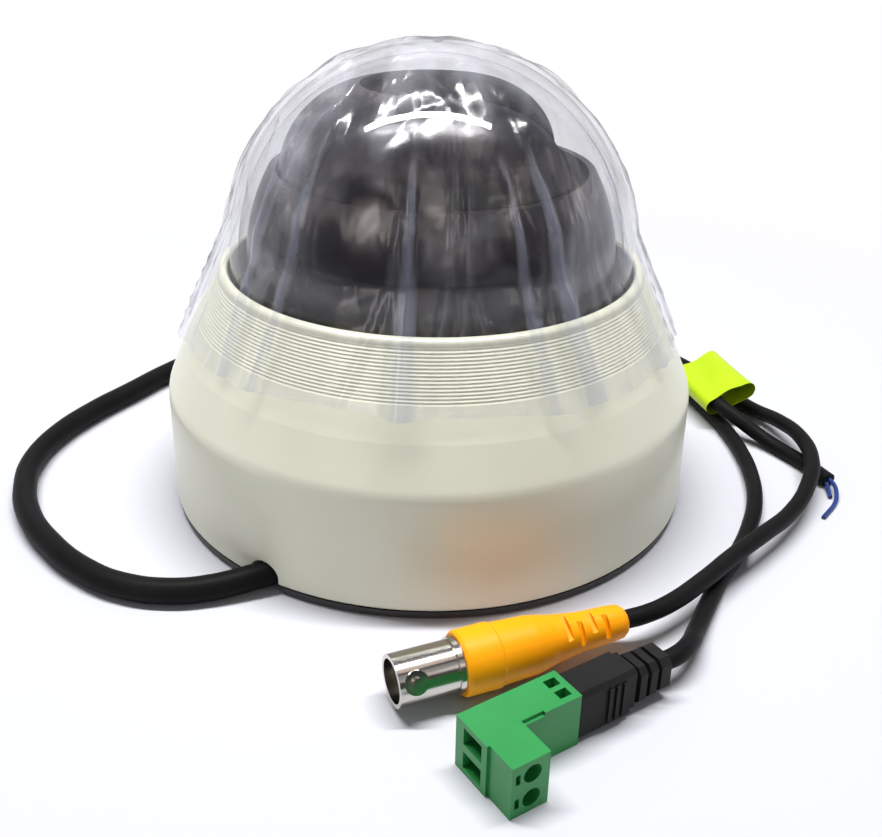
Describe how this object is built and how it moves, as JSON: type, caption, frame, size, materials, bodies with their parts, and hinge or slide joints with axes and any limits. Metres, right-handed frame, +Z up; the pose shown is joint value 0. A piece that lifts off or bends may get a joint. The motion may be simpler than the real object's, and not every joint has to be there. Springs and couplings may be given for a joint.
{
  "type": "dome camera",
  "caption": "Indoor dome surveillance camera with a conical housing, clear dome under a film, tilting varifocal lens inside, and a cable with video, power and alarm tails",
  "frame": {"origin": "middle of the base's underside", "axes": "+Z up out of the dome, -Y toward the connectors, +X toward the side with the three tails"},
  "size_m": [0.1952, 0.2002, 0.1006],
  "materials": {
    "ivory_plastic": "fine satin moulded plastic",
    "black_plastic": "matt black moulded plastic",
    "clear_dome": "clear polished plastic",
    "clear_film": "thin clear film",
    "black_rubber": "soft satin black",
    "cable_jacket": "satin black jacket",
    "blue_wire": "satin blue insulation",
    "lime_label": "bright coated paper",
    "nickel": "bright nickel plate",
    "white_insulator": "white plastic",
    "brass_contact": "gilt brass",
    "yellow_boot": "satin moulded yellow",
    "green_plastic": "smooth green plastic",
    "steel_screw": "zinc-plated steel",
    "green_board": "lacquered board",
    "black_board": "black lacquered board",
    "chip_plastic": "matt black",
    "lens_glass": "coated glass",
    "lamp_clear": "clear moulded plastic"
  },
  "bodies": {
    "base": {"base_plate": "black_plastic", "chassis": "black_plastic", "chassis_screws": "steel_screw", "main_board": "green_board", "board_chips": "chip_plastic", "board_sockets": "white_insulator", "board_screws": "steel_screw", "cable_gland": "black_rubber", "main_cable": "cable_jacket", "cable_splitter": "black_rubber", "video_cable": "cable_jacket", "power_cable": "cable_jacket", "alarm_cable": "cable_jacket", "alarm_wires": "blue_wire", "cable_label": "lime_label", "jack_shell": "nickel", "jack_insulator": "white_insulator", "jack_contact": "brass_contact", "jack_boot": "yellow_boot", "power_boot": "black_rubber", "power_pins": "nickel"},
    "terminal": {"terminal_block": "green_plastic", "terminal_screws": "steel_screw", "terminal_clamps": "nickel"},
    "cover": {"housing": "ivory_plastic", "clear_dome": "clear_dome", "dome_seal": "black_rubber", "liner_skirt": "black_plastic", "dome_screws": "steel_screw"},
    "film": {"protective_film": "clear_film"},
    "pan_head": {"turntable": "black_plastic", "pan_retainer": "steel_screw", "pan_screws": "steel_screw", "yoke": "black_plastic", "yoke_screws": "steel_screw", "liner_cap": "black_plastic"},
    "tilt_head": {"tilt_cradle": "black_plastic", "trunnion_pins": "steel_screw"},
    "lens": {"lens_collar": "black_plastic", "roll_clip": "steel_screw", "sensor_board": "green_board", "sensor_chip": "chip_plastic", "lens_barrel": "black_plastic", "front_lens": "lens_glass", "ir_board": "black_board", "ir_lamps": "lamp_clear", "light_sensor": "lamp_clear"},
    "zoom": {"zoom_ring": "black_plastic"},
    "focus": {"focus_ring": "black_plastic"}
  },
  "joints": [
    {"name": "cover_lift", "type": "slide", "parent": "base", "child": "cover", "axis": [0, 0, 1], "range_m": [0, 0.12]},
    {"name": "film_lift", "type": "slide", "parent": "cover", "child": "film", "axis": [0, 0, 1], "range_m": [0, 0.08]},
    {"name": "head_pan", "type": "hinge", "parent": "base", "child": "pan_head", "pos_m": [0, 0, 0.0273], "axis": [0, 0, 1], "range_deg": [-177.5, 177.5]},
    {"name": "head_tilt", "type": "hinge", "parent": "pan_head", "child": "tilt_head", "pos_m": [0, 0, 0.06], "axis": [0, 1, 0], "range_deg": [-50, 17]},
    {"name": "lens_roll", "type": "hinge", "parent": "tilt_head", "child": "lens", "pos_m": [0, 0, 0.06], "axis": [0.766, 0, 0.6428], "range_deg": [-177.5, 177.5]},
    {"name": "zoom_turn", "type": "hinge", "parent": "lens", "child": "zoom", "pos_m": [0, 0, 0.06], "axis": [0.766, 0, 0.6428], "range_deg": [-30, 30]},
    {"name": "focus_turn", "type": "hinge", "parent": "lens", "child": "focus", "pos_m": [0, 0, 0.06], "axis": [0.766, 0, 0.6428], "range_deg": [-45, 45]},
    {"name": "terminal_pull", "type": "slide", "parent": "base", "child": "terminal", "axis": [-0.8387, -0.5446, 0], "range_m": [0, 0.012]}
  ]
}
